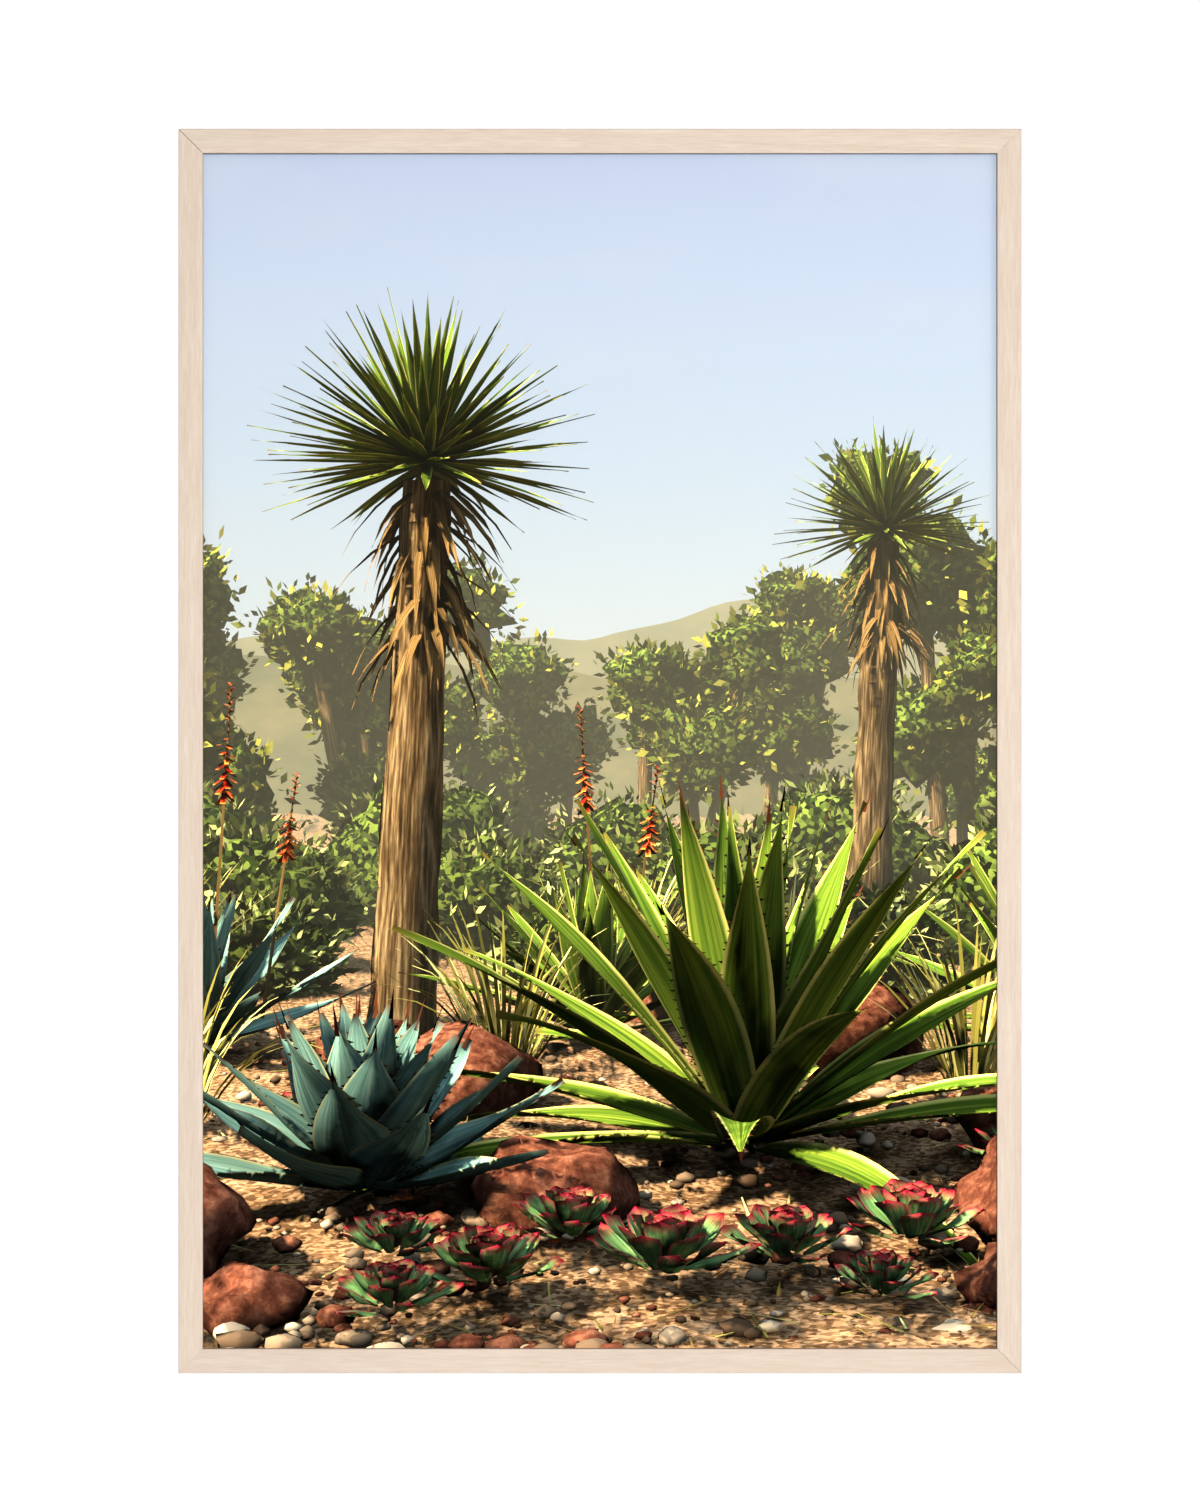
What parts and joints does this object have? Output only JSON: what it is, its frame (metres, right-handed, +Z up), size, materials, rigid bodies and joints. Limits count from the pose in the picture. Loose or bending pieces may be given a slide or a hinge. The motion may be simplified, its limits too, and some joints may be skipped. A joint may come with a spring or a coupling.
{
  "type": "framed print",
  "caption": "Framed print for the wall: mitred natural-wood moulding, clear acrylic glazing, printed dry-garden picture, fibreboard back and a toothed hanger.",
  "frame": {"origin": "on the wall plane, in the middle notch of the toothed hanger, where the nail bears", "axes": "+Z up, +Y into the wall, -Y out of the picture's front, +X to the viewer's right"},
  "size_m": [0.6406, 0.026, 0.9454],
  "materials": {
    "wood": "pale natural wood, sanded, matt clear coat",
    "acrylic": "clear cast acrylic sheet, low-reflection",
    "paper": "matt photo paper with a printed picture",
    "fibreboard": "smooth brown fibreboard",
    "steel": "zinc-plated sheet steel and screws",
    "rubber": "soft dark rubber"
  },
  "bodies": {
    "root": {"backing": "fibreboard", "bumper_left": "rubber", "bumper_right": "rubber", "glazing": "acrylic", "hanger": "steel", "point_bottom_1": "steel", "point_bottom_2": "steel", "point_bottom_3": "steel", "point_left_1": "steel", "point_left_2": "steel", "point_left_3": "steel", "point_left_4": "steel", "point_right_1": "steel", "point_right_2": "steel", "point_right_3": "steel", "point_right_4": "steel", "point_top_1": "steel", "point_top_2": "steel", "point_top_3": "steel", "print": "paper", "rail_bottom": "wood", "rail_left": "wood", "rail_right": "wood", "rail_top": "wood", "screw_left": "steel", "screw_right": "steel", "v_nail_bottom_left_1": "steel", "v_nail_bottom_left_2": "steel", "v_nail_bottom_right_1": "steel", "v_nail_bottom_right_2": "steel", "v_nail_top_left_1": "steel", "v_nail_top_left_2": "steel", "v_nail_top_right_1": "steel", "v_nail_top_right_2": "steel"}
  },
  "joints": []
}
